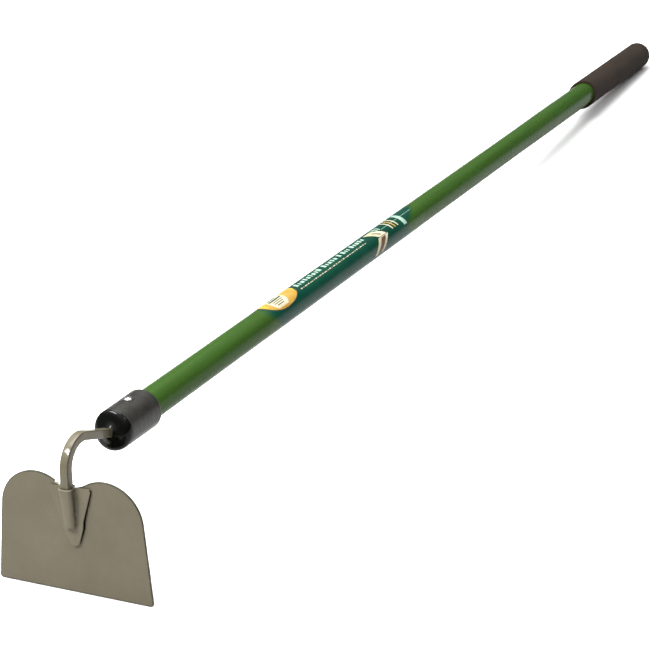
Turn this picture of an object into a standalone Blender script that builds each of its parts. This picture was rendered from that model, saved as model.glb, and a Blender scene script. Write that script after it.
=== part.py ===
"""Grub hoe with a long fibreglass handle, lying as it rests on a floor.

The tool has its own frame, held by the empty "tool_frame": the handle's axis is local +X, from just
ahead of the ferrule at x = 0 to the foam grip, the blade is as wide as local Y, and it hangs towards
local -Z. That empty is turned and lifted so that the blade's cutting edge and the grip's closed end
both touch z = 0, with the middle of the tool's length over the origin.

A second empty, "blade_frame", holds what is built on the blade: its YZ plane is the blade's outer
face, the side away from the user, and its -Z runs down the blade to the cutting edge.
"""

import math

import bmesh
import bpy
from mathutils import Vector

# Handle, measured along the tool's X axis.
HANDLE_RADIUS = 0.0146
HANDLE_BORE_RADIUS = 0.0110
HANDLE_SWELL_START = 0.9500
HANDLE_SWELL_END = 1.1300
HANDLE_SWELL_RADIUS = 0.0152
HANDLE_START = 0.0083
HANDLE_END = 1.5160
GAP = 0.0003
ROUND_STEPS = 48

# Foam grip.
GRIP_RADIUS = 0.0187
GRIP_START = 1.2570
GRIP_END = 1.5270
GRIP_MOUTH_ROUND = 0.0010
GRIP_MOUTH_SLANT_Y = -0.30
GRIP_MOUTH_SLANT_Z = 0.42
GRIP_END_ROUND = 0.0120
GRIP_END_WALL = 0.0070

# Plug in the handle's free end.
END_PLUG_LENGTH = 0.0300
END_PLUG_FLANGE = 0.0030
END_PLUG_CHAMFER = 0.0020

# Printed film wrapped round the handle.
LABEL_START = 0.2800
LABEL_END = 0.6500
LABEL_GAP = 0.00015
LABEL_THICKNESS = 0.0002

# Ferrule, a sleeve that widens a little towards its rear end.
FERRULE_START = 0.0022
FERRULE_END = 0.0525
FERRULE_FRONT_RADIUS = 0.0186
FERRULE_REAR_RADIUS = 0.0189
FERRULE_FRONT_CHAMFER = 0.0004
FERRULE_REAR_CHAMFER = 0.0022

# Plug that holds the tang: a blunt nose ahead of the ferrule and a stem in the handle's bore.
NOSE_RADIUS = 0.0186
NOSE_LENGTH = 0.0085
NOSE_BLUNTNESS = 2.8
NOSE_SWELL = 0.0036
NOSE_SWELL_RADIUS = 0.0115
NOSE_DROOP = 0.50
NOSE_STEPS = 12
STEM_END = 0.0860

# Screw through the ferrule into the tang.
SCREW_X = 0.0275
SCREW_TURN = math.radians(9.0)
SCREW_RADIUS = 0.0022
SCREW_TIP_RADIUS = 0.0009
SCREW_TIP_Z = 0.0012
SCREW_HEAD_RADIUS = 0.0045
SCREW_HEAD_RIM = 0.0010
SCREW_HEAD_DOME = 0.0016
SEAT_Z = 0.0180
RECESS_WIDTH = 0.0012
RECESS_LENGTH = 0.0050
RECESS_DEPTH = 0.0015
DRILL_REACH = 0.0400

# Square-bar shank: tang, gooseneck and tail.
BAR_WIDTH = 0.0085
BAR_THICKNESS = 0.0080
BAR_CORNER = 0.0012
TANG_END = 0.0800
NECK_START = -0.0050
NECK_RISE = math.radians(19.0)
NECK_START_RADIUS = 0.0200
NECK_START_STEPS = 5
NECK_BEND_RADIUS = 0.0230
TAIL_END = 0.0340
TAIL_WIDTH = 0.0064
TAIL_THICKNESS = 0.0046
TAIL_SHIFT = -0.0008
HOLE_OVERRUN = 0.0080

# Blade, in the blade's frame: distances down from the middle of its notch.
BLADE_X = -0.0735
BLADE_Z = -0.0215
BLADE_LEAN = math.radians(2.8)
BLADE_THICKNESS = 0.0020
BLADE_DEPTH = 0.0972
BLADE_EDGE_HALF = 0.0767
BLADE_FLARE = math.radians(5.45)
BLADE_CORNER_RADIUS = 0.0028
LOBE_RADIUS = 0.0365
LOBE_Y = 0.0338
LOBE_TOP = 0.0085
NOTCH_RADIUS = 0.0280
EDGE_LAND = 0.0009
EDGE_BEVEL_DEPTH = 0.0070

# Stamped patch with the channel for the shank's tail, in the blade's frame.
PATCH_THICKNESS = 0.0016
PATCH_TURN = math.radians(-2.6)
PATCH_OFFSET = -0.0007
PATCH_TOP_HALF = 0.0195
PATCH_SHOULDER = (0.0207, 0.0025)
PATCH_WAIST = (0.0112, 0.0300)
PATCH_HIP = (0.0102, 0.0370)
PATCH_TIP_RADIUS = 0.0056
PATCH_DEPTH = 0.0536
CHANNEL_CORNER = 0.0032
CHANNEL_END_ROUND = 0.0036
CHANNEL_END_STEPS = 5

# Weld bead in the notch, behind the shank.
WELD_HALF_LENGTH = 0.0048
WELD_RADIUS = 0.0013


def clear_scene():
    for item in list(bpy.data.objects):
        bpy.data.objects.remove(item, do_unlink=True)


def make_material(name, colour, roughness, metallic=0.0):
    material = bpy.data.materials.new(name)
    material.use_nodes = True
    shader = material.node_tree.nodes["Principled BSDF"]
    shader.inputs["Base Color"].default_value = (*colour, 1.0)
    shader.inputs["Roughness"].default_value = roughness
    shader.inputs["Metallic"].default_value = metallic
    return material


def make_empty(name, parent=None):
    empty = bpy.data.objects.new(name, None)
    bpy.context.scene.collection.objects.link(empty)
    empty.parent = parent
    return empty


def make_piece(name, shape, parent, material=None, smooth_angle=35.0):
    """Turns a bmesh into a named object under parent, with its faces pointing out."""
    bmesh.ops.recalc_face_normals(shape, faces=shape.faces)
    mesh = bpy.data.meshes.new(name)
    shape.to_mesh(mesh)
    shape.free()
    mesh.shade_smooth()
    mesh.set_sharp_from_angle(angle=math.radians(smooth_angle))
    if material:
        mesh.materials.append(material)
    piece = bpy.data.objects.new(name, mesh)
    bpy.context.scene.collection.objects.link(piece)
    piece.parent = parent
    return piece


def make_cutter(name, shape, parent):
    cutter = make_piece(name, shape, parent)
    cutter.hide_render = True
    cutter.display_type = "WIRE"
    return cutter


def combine(piece, other, operation="DIFFERENCE"):
    boolean = piece.modifiers.new(other.name, "BOOLEAN")
    boolean.operation = operation
    boolean.solver = "EXACT"
    boolean.object = other


def arc(centre, radius, start, end, steps):
    """Points on an arc in a plane, from angle start to angle end, in degrees."""
    points = []
    for step in range(steps + 1):
        angle = math.radians(start + (end - start) * step / steps)
        points.append((centre[0] + radius * math.cos(angle), centre[1] + radius * math.sin(angle)))
    return points


def turned(profile, steps=ROUND_STEPS, closed=False):
    """Spins a profile of (x, radius) points about the X axis."""
    shape = bmesh.new()
    points = [shape.verts.new((x, 0.0, radius)) for x, radius in profile]
    pairs = list(zip(points, points[1:]))
    if closed:
        pairs.append((points[-1], points[0]))
    edges = [shape.edges.new(pair) for pair in pairs]
    bmesh.ops.spin(
        shape,
        geom=points + edges,
        cent=(0.0, 0.0, 0.0),
        axis=(1.0, 0.0, 0.0),
        angle=2.0 * math.pi,
        steps=steps,
        use_merge=True,
    )
    bmesh.ops.remove_doubles(shape, verts=shape.verts, dist=1e-6)
    return shape


def lofted(rings):
    """Joins rings of equally many points one after another and closes both ends."""
    shape = bmesh.new()
    loops = [[shape.verts.new(point) for point in ring] for ring in rings]
    count = len(loops[0])
    for near, far in zip(loops, loops[1:]):
        for i in range(count):
            j = (i + 1) % count
            shape.faces.new((near[i], near[j], far[j], far[i]))
    shape.faces.new(loops[0])
    shape.faces.new(loops[-1])
    return shape


def box(low, high):
    shape = bmesh.new()
    bmesh.ops.create_cube(shape, size=1.0)
    size = Vector(high) - Vector(low)
    middle = (Vector(high) + Vector(low)) / 2.0
    bmesh.ops.scale(shape, vec=size, verts=shape.verts)
    bmesh.ops.translate(shape, vec=middle, verts=shape.verts)
    return shape


def slab(outline, low, high):
    """A plate between x = low and x = high whose outline is given as (y, z) points."""
    return lofted([[(x, y, z) for y, z in outline] for x in (low, high)])


def rounded_rectangle(half_width, half_height, corner, steps=3):
    """Outline points of a rectangle with round corners, anticlockwise."""
    points = []
    for start, side, end in ((0, 1, 1), (90, -1, 1), (180, -1, -1), (270, 1, -1)):
        centre = (side * (half_width - corner), end * (half_height - corner))
        points += arc(centre, corner, start, start + 90, steps)
    return points


def blade_point(x, y, z):
    """A point given in the blade's frame, in the tool's frame."""
    cos_lean = math.cos(BLADE_LEAN)
    sin_lean = math.sin(BLADE_LEAN)
    return Vector((BLADE_X + x * cos_lean + z * sin_lean, y, BLADE_Z - x * sin_lean + z * cos_lean))


def rest_pose():
    """Turn about Y and place of the tool's frame that lay the tool on z = 0.

    The floor passes through the cutting edge's inner corner and touches the round of the grip's end.
    """
    edge = blade_point(EDGE_LAND, 0.0, -BLADE_DEPTH)
    round_x = GRIP_END - GRIP_END_ROUND
    round_z = GRIP_END_ROUND - GRIP_RADIUS
    run = round_x - edge.x
    rise = round_z - edge.z
    tilt = math.atan2(rise, run) - math.asin(GRIP_END_ROUND / math.hypot(run, rise))
    lift = edge.x * math.sin(tilt) - edge.z * math.cos(tilt)
    rear = edge.x * math.cos(tilt) + edge.z * math.sin(tilt)
    front = GRIP_END * math.cos(tilt)
    return tilt, Vector((-(rear + front) / 2.0, 0.0, lift))


def make_handle(parent):
    profile = [
        (HANDLE_START, HANDLE_BORE_RADIUS),
        (HANDLE_START, HANDLE_RADIUS),
        (HANDLE_SWELL_START, HANDLE_RADIUS),
        (HANDLE_SWELL_END, HANDLE_SWELL_RADIUS),
        (HANDLE_END, HANDLE_SWELL_RADIUS),
        (HANDLE_END, HANDLE_BORE_RADIUS),
    ]
    green = make_material("green_fibreglass", (0.045, 0.125, 0.025), 0.35)
    return make_piece("handle_tube", turned(profile, closed=True), parent, green)


def make_grip(parent):
    """Foam sleeve with a closed round end, cut off at a slant at its mouth."""
    inner = HANDLE_SWELL_RADIUS + GAP
    mouth = (GRIP_START + GRIP_MOUTH_ROUND, GRIP_RADIUS - GRIP_MOUTH_ROUND)
    crown = (GRIP_END - GRIP_END_ROUND, GRIP_RADIUS - GRIP_END_ROUND)
    hollow_end = GRIP_END - GRIP_END_WALL
    profile = [(hollow_end, 0.0), (hollow_end, inner), (GRIP_START, inner)]
    profile += arc(mouth, GRIP_MOUTH_ROUND, 180, 90, 3)
    profile += arc(crown, GRIP_END_ROUND, 90, 0, 8)
    profile.append((GRIP_END, 0.0))
    shape = turned(profile)
    for vert in shape.verts:
        if vert.co.x < GRIP_START + 2.0 * GRIP_MOUTH_ROUND:
            vert.co.x += GRIP_MOUTH_SLANT_Y * vert.co.y + GRIP_MOUTH_SLANT_Z * vert.co.z
    foam = make_material("dark_foam", (0.045, 0.032, 0.025), 0.9)
    return make_piece("grip", shape, parent, foam)


def make_end_plug(parent):
    radius = HANDLE_BORE_RADIUS - GAP
    flange = HANDLE_END + GAP
    profile = [
        (HANDLE_END - END_PLUG_LENGTH, 0.0),
        (HANDLE_END - END_PLUG_LENGTH, radius - END_PLUG_CHAMFER),
        (HANDLE_END - END_PLUG_LENGTH + END_PLUG_CHAMFER, radius),
        (flange, radius),
        (flange, HANDLE_SWELL_RADIUS),
        (flange + END_PLUG_FLANGE, HANDLE_SWELL_RADIUS),
        (flange + END_PLUG_FLANGE, 0.0),
    ]
    black = make_material("plug_plastic", (0.02, 0.02, 0.02), 0.5)
    return make_piece("end_plug", turned(profile), parent, black)


def make_label(parent):
    inner = HANDLE_RADIUS + LABEL_GAP
    outer = inner + LABEL_THICKNESS
    profile = [(LABEL_START, inner), (LABEL_START, outer), (LABEL_END, outer), (LABEL_END, inner)]
    film = make_material("label_film", (0.012, 0.085, 0.075), 0.3)
    return make_piece("label", turned(profile, closed=True), parent, film)


def make_ferrule(parent):
    bore = HANDLE_RADIUS + GAP
    profile = [
        (FERRULE_START, bore),
        (FERRULE_START, FERRULE_FRONT_RADIUS - FERRULE_FRONT_CHAMFER),
        (FERRULE_START + FERRULE_FRONT_CHAMFER, FERRULE_FRONT_RADIUS),
        (FERRULE_END - FERRULE_REAR_CHAMFER, FERRULE_REAR_RADIUS),
        (FERRULE_END, FERRULE_REAR_RADIUS - FERRULE_REAR_CHAMFER),
        (FERRULE_END, bore),
    ]
    satin = make_material("ferrule_satin_black", (0.04, 0.038, 0.035), 0.5)
    return make_piece("ferrule", turned(profile, closed=True), parent, satin)


def make_tang_plug(parent):
    """One moulding: a nose that swells round the tang, a collar in the ferrule and a stem in the handle.

    The nose droops: it reaches further forward below the axis than above it.
    """
    back = FERRULE_START - GAP
    profile = []
    for step in range(NOSE_STEPS + 1):
        angle = math.pi / 2.0 * step / NOSE_STEPS
        radius = NOSE_RADIUS * math.sin(angle) ** (2.0 / NOSE_BLUNTNESS)
        swell = NOSE_SWELL * (1.0 + math.cos(math.pi * min(radius / NOSE_SWELL_RADIUS, 1.0))) / 2.0
        profile.append((back - NOSE_LENGTH * math.cos(angle) ** (2.0 / NOSE_BLUNTNESS) - swell, radius))
    stem = HANDLE_BORE_RADIUS - GAP
    profile += [
        (back, HANDLE_RADIUS),
        (HANDLE_START - GAP, HANDLE_RADIUS),
        (HANDLE_START - GAP, stem),
        (STEM_END, stem),
        (STEM_END, 0.0),
    ]
    shape = turned(profile)
    for vert in shape.verts:
        if vert.co.x < back:
            vert.co.x += (back - vert.co.x) * NOSE_DROOP * vert.co.z / NOSE_RADIUS
    gloss = make_material("nose_gloss_black", (0.012, 0.012, 0.012), 0.12)
    return make_piece("tang_plug", shape, parent, gloss)


def place_on_screw_axis(piece):
    """Turns a piece modelled along local X so that it points out of the ferrule along the screw."""
    piece.location = (SCREW_X, 0.0, 0.0)
    piece.rotation_euler = (-SCREW_TURN, -math.pi / 2.0, 0.0)


def make_screw(parent):
    seat = SEAT_Z + GAP
    rim = seat + SCREW_HEAD_RIM
    top = rim + SCREW_HEAD_DOME
    dome_radius = (SCREW_HEAD_RADIUS**2 + SCREW_HEAD_DOME**2) / (2.0 * SCREW_HEAD_DOME)
    dome_angle = math.degrees(math.asin(SCREW_HEAD_RADIUS / dome_radius))
    profile = [
        (SCREW_TIP_Z, 0.0),
        (SCREW_TIP_Z, SCREW_TIP_RADIUS),
        (SCREW_TIP_Z + SCREW_RADIUS, SCREW_RADIUS),
        (seat, SCREW_RADIUS),
        (seat, SCREW_HEAD_RADIUS),
    ]
    profile += arc((top - dome_radius, 0.0), dome_radius, dome_angle, 0, 6)
    zinc = make_material("zinc_screw", (0.75, 0.75, 0.73), 0.25, 1.0)
    screw = make_piece("ferrule_screw", turned(profile, steps=32), parent, zinc)
    place_on_screw_axis(screw)
    for number, (width, length) in enumerate(((RECESS_LENGTH, RECESS_WIDTH), (RECESS_WIDTH, RECESS_LENGTH))):
        low = (top - RECESS_DEPTH, -width / 2.0, -length / 2.0)
        high = (top + RECESS_DEPTH, width / 2.0, length / 2.0)
        slot = make_cutter(f"recess_slot_{number}", box(low, high), parent)
        place_on_screw_axis(slot)
        combine(screw, slot)
    return screw


def make_drill(parent):
    """Hole for the screw, down through ferrule, handle and plug and a little way into the tang."""
    radius = SCREW_RADIUS + GAP
    bottom = SCREW_TIP_Z - GAP
    profile = [(bottom, 0.0), (bottom, radius), (DRILL_REACH, radius), (DRILL_REACH, 0.0)]
    drill = make_cutter("screw_drill", turned(profile, steps=32), parent)
    place_on_screw_axis(drill)
    return drill


def make_spot_face(parent):
    """Flat seat for the screw's head."""
    radius = SCREW_HEAD_RADIUS + GAP
    profile = [(SEAT_Z, 0.0), (SEAT_Z, radius), (DRILL_REACH, radius), (DRILL_REACH, 0.0)]
    face = make_cutter("spot_face", turned(profile, steps=32), parent)
    place_on_screw_axis(face)
    return face


def fillet(before, corner, after, radius, steps):
    """Points of the arc that rounds a corner of a path in the XZ plane, in walking order."""
    back = (before - corner).normalized()
    ahead = (after - corner).normalized()
    half = back.angle(ahead) / 2.0
    centre = corner + (back + ahead).normalized() * (radius / math.sin(half))
    start = corner + back * (radius / math.tan(half)) - centre
    end = corner + ahead * (radius / math.tan(half)) - centre
    sweep = start.angle(end)
    points = []
    for step in range(steps + 1):
        share = step / steps
        weight_start = math.sin((1.0 - share) * sweep) / math.sin(sweep)
        weight_end = math.sin(share * sweep) / math.sin(sweep)
        points.append(centre + start * weight_start + end * weight_end)
    return points


def shank_corners():
    """Corners of the bar's centre line: the tang's end, the neck's start, the knee and the tail's end."""
    tang = Vector((TANG_END, 0.0, 0.0))
    rise = Vector((NECK_START, 0.0, 0.0))
    offset = -(GAP + BAR_THICKNESS / 2.0)
    tail_top = blade_point(offset, 0.0, 0.0)
    tail = blade_point(offset, 0.0, -TAIL_END)
    down = (tail - tail_top).normalized()
    heading = Vector((-math.cos(NECK_RISE), 0.0, math.sin(NECK_RISE)))
    across = tail_top - rise
    reach = (across.x * down.z - across.z * down.x) / (heading.x * down.z - heading.z * down.x)
    return tang, rise, rise + heading * reach, tail


def bar_rings(path, allowance):
    """Rings of the bar's section along a path in the XZ plane, grown by an allowance all round."""
    half_width = BAR_WIDTH / 2.0 + allowance
    half_thickness = BAR_THICKNESS / 2.0 + allowance
    section = rounded_rectangle(half_width, half_thickness, BAR_CORNER + allowance)
    rings = []
    for i, point in enumerate(path):
        ahead = path[min(i + 1, len(path) - 1)] - path[max(i - 1, 0)]
        upright = Vector((-ahead.z, 0.0, ahead.x)).normalized()
        rings.append([point + Vector((0.0, y, 0.0)) - upright * h for y, h in section])
    return rings


def make_shank(parent):
    tang, rise, knee, tail = shank_corners()
    path = [tang]
    path += fillet(tang, rise, knee, NECK_START_RADIUS, NECK_START_STEPS)
    path += fillet(rise, knee, tail, NECK_BEND_RADIUS, 16)
    path.append(blade_point(-(GAP + BAR_THICKNESS / 2.0), 0.0, 0.0))
    rings = bar_rings(path, 0.0)
    section = rounded_rectangle(TAIL_WIDTH / 2.0, TAIL_THICKNESS / 2.0, BAR_CORNER)
    middle = GAP + TAIL_THICKNESS / 2.0
    rings.append([blade_point(-middle - h, TAIL_SHIFT + y, -TAIL_END) for y, h in section])
    paint = make_material("shank_paint", (0.25, 0.22, 0.16), 0.35, 0.3)
    return make_piece("shank", lofted(rings), parent, paint)


def make_tang_hole(parent):
    """Square hole right through the plug that follows the tang and the start of the neck."""
    tang, rise, knee, _ = shank_corners()
    path = [Vector((STEM_END + HOLE_OVERRUN, 0.0, 0.0))]
    path += fillet(tang, rise, knee, NECK_START_RADIUS, NECK_START_STEPS)
    path.append(rise + (knee - rise).normalized() * (NOSE_LENGTH + HOLE_OVERRUN))
    return make_cutter("tang_hole", lofted(bar_rings(path, GAP)), parent)


def blade_outline():
    """Right-hand half of the blade's outline from the notch to the cutting edge, then its mirror."""
    reach = LOBE_RADIUS + NOTCH_RADIUS
    swing = math.degrees(math.asin(LOBE_Y / reach))
    lobe = (LOBE_Y, LOBE_TOP - LOBE_RADIUS)
    notch = (0.0, lobe[1] + math.sqrt(reach**2 - LOBE_Y**2))
    flare = math.degrees(BLADE_FLARE)
    corner_z = -BLADE_DEPTH + BLADE_CORNER_RADIUS
    corner_y = BLADE_EDGE_HALF - BLADE_CORNER_RADIUS
    half = arc(notch, NOTCH_RADIUS, -90, -90 + swing, 6)
    half += arc(lobe, LOBE_RADIUS, 90 + swing, flare, 18)[1:]
    half += arc((corner_y, corner_z), BLADE_CORNER_RADIUS, flare, -90, 4)
    return half + [(-y, z) for y, z in reversed(half[1:])]


def make_blade(parent):
    shape = slab(blade_outline(), 0.0, BLADE_THICKNESS)
    slope = Vector((EDGE_BEVEL_DEPTH, 0.0, -(BLADE_THICKNESS - EDGE_LAND)))
    cut = bmesh.ops.bisect_plane(
        shape,
        geom=shape.verts[:] + shape.edges[:] + shape.faces[:],
        plane_co=(EDGE_LAND, 0.0, -BLADE_DEPTH),
        plane_no=slope,
        clear_outer=True,
    )
    rim = [item for item in cut["geom_cut"] if isinstance(item, bmesh.types.BMEdge)]
    bmesh.ops.contextual_create(shape, geom=rim)
    paint = make_material("blade_paint", (0.25, 0.22, 0.16), 0.45, 0.3)
    return make_piece("blade", shape, parent, paint, smooth_angle=25.0)


def patch_outline():
    """Shield outline of the patch: straight top, clipped shoulders, and sides that close to a round tip."""
    tip = (0.0, PATCH_TIP_RADIUS - PATCH_DEPTH)
    right = [(PATCH_TOP_HALF, 0.0)]
    right += [(y, -depth) for y, depth in (PATCH_SHOULDER, PATCH_WAIST, PATCH_HIP)]
    right += arc(tip, PATCH_TIP_RADIUS, -15, -90, 5)
    outline = right + [(-y, z) for y, z in reversed(right[:-1])]
    turned_outline = []
    for y, z in outline:
        turned_y = y * math.cos(PATCH_TURN) - z * math.sin(PATCH_TURN)
        turned_z = y * math.sin(PATCH_TURN) + z * math.cos(PATCH_TURN)
        turned_outline.append((turned_y + PATCH_OFFSET, turned_z))
    return turned_outline


def channel_ring(z, bar_size, wall):
    """Round-cornered hat over the bar's tail at one height, open towards the blade."""
    half_width = bar_size[0] / 2.0 + wall
    crown = bar_size[1] + wall
    middle = bar_size[2]
    hat = [(0.0, middle + half_width)]
    for side, start in ((1.0, 0), (-1.0, 90)):
        centre = (side * (half_width - CHANNEL_CORNER), crown - CHANNEL_CORNER)
        hat += [(h, middle + y) for y, h in arc(centre, CHANNEL_CORNER, start, start + 90, 4)]
    hat.append((0.0, middle - half_width))
    return [(-GAP - h, y, z) for h, y in hat]


def make_patch(parent):
    """Stamping with a flat flange on the blade and a channel, closed at the bottom, over the tail."""
    flange = slab(patch_outline(), -GAP - PATCH_THICKNESS, -GAP)
    paint = make_material("patch_paint", (0.25, 0.22, 0.16), 0.4, 0.3)
    patch = make_piece("shank_patch", flange, parent, paint)
    mouth = (BAR_WIDTH, BAR_THICKNESS, 0.0)
    tail = (TAIL_WIDTH, TAIL_THICKNESS, TAIL_SHIFT)
    wall = GAP + PATCH_THICKNESS
    bottom = -TAIL_END - GAP
    hat = [channel_ring(0.0, mouth, wall)]
    for step in range(CHANNEL_END_STEPS):
        angle = math.radians(15.0 * step)
        drop = CHANNEL_END_ROUND * (1.0 - math.cos(angle))
        hat.append(channel_ring(bottom - CHANNEL_END_ROUND * math.sin(angle), tail, wall - drop))
    combine(patch, make_cutter("channel_hat", lofted(hat), parent), "UNION")
    hollow = []
    for z, (width, thickness, shift) in ((HOLE_OVERRUN, mouth), (0.0, mouth), (bottom, tail)):
        outline = rounded_rectangle(width / 2.0 + GAP, thickness + 2.0 * GAP, BAR_CORNER)
        hollow.append([(-depth, shift + y, z) for y, depth in outline])
    combine(patch, make_cutter("channel_hollow", lofted(hollow), parent))
    return patch


def make_neck_weld(parent):
    """Fillet bead along the notch's edge, against the back of the shank."""
    reach = LOBE_RADIUS + NOTCH_RADIUS
    centre_z = LOBE_TOP - LOBE_RADIUS + math.sqrt(reach**2 - LOBE_Y**2)
    edge_radius = NOTCH_RADIUS - GAP - WELD_RADIUS
    rings = []
    stations = 10
    for step in range(stations + 1):
        share = 2.0 * step / stations - 1.0
        angle = share * WELD_HALF_LENGTH / edge_radius
        bead = WELD_RADIUS * math.sqrt(max(1.0 - share**2, 0.05))
        y = edge_radius * math.sin(angle)
        z = centre_z - edge_radius * math.cos(angle) - (WELD_RADIUS - bead)
        x = GAP + WELD_RADIUS
        rings.append([(x + a, y, z + b) for a, b in arc((0.0, 0.0), bead, 0, 330, 11)])
    paint = make_material("weld_paint", (0.25, 0.22, 0.16), 0.4, 0.3)
    return make_piece("neck_weld", lofted(rings), parent, paint, smooth_angle=60.0)


def main():
    clear_scene()
    tool_frame = make_empty("tool_frame")
    tilt, place = rest_pose()
    tool_frame.location = place
    tool_frame.rotation_euler = (0.0, tilt, 0.0)
    blade_frame = make_empty("blade_frame", tool_frame)
    blade_frame.location = (BLADE_X, 0.0, BLADE_Z)
    blade_frame.rotation_euler = (0.0, BLADE_LEAN, 0.0)

    handle = make_handle(tool_frame)
    ferrule = make_ferrule(tool_frame)
    plug = make_tang_plug(tool_frame)
    shank = make_shank(tool_frame)
    make_screw(tool_frame)
    make_end_plug(tool_frame)
    make_grip(tool_frame)
    make_label(tool_frame)
    make_blade(blade_frame)
    make_patch(blade_frame)
    make_neck_weld(blade_frame)

    combine(plug, make_tang_hole(tool_frame))
    drill = make_drill(tool_frame)
    for piece in (ferrule, handle, plug, shank):
        combine(piece, drill)
    combine(ferrule, make_spot_face(tool_frame))


main()
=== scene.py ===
import math

import bmesh
import bpy
import numpy as np
from mathutils import Matrix, Vector, noise


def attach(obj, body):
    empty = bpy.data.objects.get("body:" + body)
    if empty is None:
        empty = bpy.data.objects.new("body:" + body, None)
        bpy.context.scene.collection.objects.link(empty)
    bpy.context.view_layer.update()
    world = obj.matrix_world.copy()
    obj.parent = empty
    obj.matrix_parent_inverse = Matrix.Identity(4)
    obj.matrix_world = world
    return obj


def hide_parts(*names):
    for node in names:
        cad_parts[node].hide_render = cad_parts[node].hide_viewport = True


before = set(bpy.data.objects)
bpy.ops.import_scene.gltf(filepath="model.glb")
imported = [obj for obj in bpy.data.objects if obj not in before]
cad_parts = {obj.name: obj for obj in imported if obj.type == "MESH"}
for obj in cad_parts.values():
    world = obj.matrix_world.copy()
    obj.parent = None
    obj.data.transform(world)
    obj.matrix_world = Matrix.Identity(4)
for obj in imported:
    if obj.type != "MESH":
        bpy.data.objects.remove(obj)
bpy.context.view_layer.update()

MM = 0.001
TINY = 1e-7
SHARP = 35.0

# ---------------------------------------------------------------- sizes shared with the CAD, in metres
HANDLE_RADIUS, HANDLE_BORE = 0.0146, 0.0110
HANDLE_START, HANDLE_END, TUBE_CHAMFER = 0.0083, 1.5160, 0.0004
SWELL_START, SWELL_END, SWELL_RADIUS = 0.9500, 1.1300, 0.0152
GRIP_RADIUS, GRIP_START, GRIP_END, GRIP_ROUND = 0.0187, 1.2570, 1.5270, 0.0120
GRIP_SLANT_Y, GRIP_SLANT_Z, GRIP_SLANT_REACH = -0.30, 0.42, 0.0500
LABEL_START, LABEL_END = 0.2700, 0.6600
FERRULE_START, FERRULE_END = 0.0022, 0.0525
FERRULE_FRONT, FERRULE_REAR, FERRULE_ROUND, FERRULE_CHAMFER = 0.0186, 0.0189, 0.0007, 0.0022
NOSE_RADIUS, NOSE_LENGTH, NOSE_BLUNTNESS = 0.0186, 0.0085, 2.8
NOSE_SWELL, NOSE_SWELL_RADIUS, NOSE_DROOP = 0.0036, 0.0115, 0.50
STEM_END = 0.0860
SCREW_X, SCREW_TURN, SEAT = 0.0275, math.radians(9.0), 0.0180
HEAD_RADIUS, HEAD_RIM, HEAD_DOME = 0.0045, 0.0010, 0.0016
SCREW_TIP, SCREW_SHANK, HOLE_START, HOLE_RADIUS = 0.0012, 0.0022, 0.0009, 0.0025
BAR_WIDTH, BAR_THICKNESS, BAR_CORNER = 0.0085, 0.0080, 0.0012
TANG_END, NECK_START, NECK_RISE = 0.0800, -0.0050, math.radians(19.0)
NECK_START_RADIUS, NECK_BEND_RADIUS = 0.0200, 0.0230
TAIL_END, TAIL_WIDTH, TAIL_THICKNESS, TAIL_SHIFT = 0.0340, 0.0064, 0.0046, -0.0008
BLADE_PLACE, BLADE_LEAN = Vector((-0.0735, 0.0, -0.0215)), math.radians(2.8)
BLADE_THICKNESS, BLADE_DEPTH, BLADE_EDGE_HALF = 0.0020, 0.0972, 0.0767
BLADE_FLARE, BLADE_CORNER = math.radians(5.45), 0.0028
LOBE_RADIUS, LOBE_Y, LOBE_TOP, NOTCH_RADIUS = 0.0365, 0.0338, 0.0085, 0.0280
EDGE_LAND, EDGE_BEVEL = 0.0009, 0.0070
PATCH_THICKNESS, PATCH_TURN, PATCH_OFFSET, PATCH_DEPTH = 0.0016, math.radians(-2.6), -0.0007, 0.0536
WELD_RADIUS, WELD_HALF = 0.0013, 0.0048
GAP = 0.0003

# ---------------------------------------------------------------- sizes of the looks only, in metres
FILM_RADIUS, FILM_RAMP, INK_LIFT = HANDLE_RADIUS + 0.00018, 0.0100, 0.00003
RIM_ROUND, RIM_INSET, FACE_INSET = 0.00045, 0.0016, 0.0060
PATCH_ROUND, PATCH_SHADE_REACH = 0.0006, 0.0007
WAIST_Z, WAIST_REACH = -0.0340, 0.0135
CUTTER_TOP, CUTTER_PASS = 0.0400, 0.0080

# ---------------------------------------------------------------- driving colours, linear
TAUPE = (0.120, 0.105, 0.070)
GREEN = (0.027, 0.070, 0.0105)
TEAL = (0.0015, 0.042, 0.027)


def tool_matrix():
    """The tool's own frame, +X along the handle, found from the rings at the tube's two ends."""
    points = np.array([v.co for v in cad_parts["handle_tube"].data.vertices])
    reach = 2.5 * MM
    front = points[points[:, 0] < points[:, 0].min() + reach]
    end = points[points[:, 0] > points[:, 0].max() - reach]
    near, far = (front.min(0) + front.max(0)) / 2.0, (end.min(0) + end.max(0)) / 2.0
    axis = Vector(far - near).normalized()
    origin = Vector(near) - axis * HANDLE_START
    return Matrix.Translation(origin) @ Matrix.Rotation(math.atan2(-axis.z, axis.x), 4, "Y")


TOOL = tool_matrix()
LEAN = Matrix.Translation(BLADE_PLACE) @ Matrix.Rotation(BLADE_LEAN, 4, "Y")
BLADE = TOOL @ LEAN


# ---------------------------------------------------------------- mesh helpers
def clamp(value):
    return min(max(value, 0.0), 1.0)


def ease(share):
    return share * share * (3.0 - 2.0 * share)


def arc(centre, radius, start, end, steps):
    """Points along an arc in a plane, with its angles in degrees."""
    angles = [math.radians(start + (end - start) * i / steps) for i in range(steps + 1)]
    return [(centre[0] + radius * math.cos(a), centre[1] + radius * math.sin(a)) for a in angles]


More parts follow.
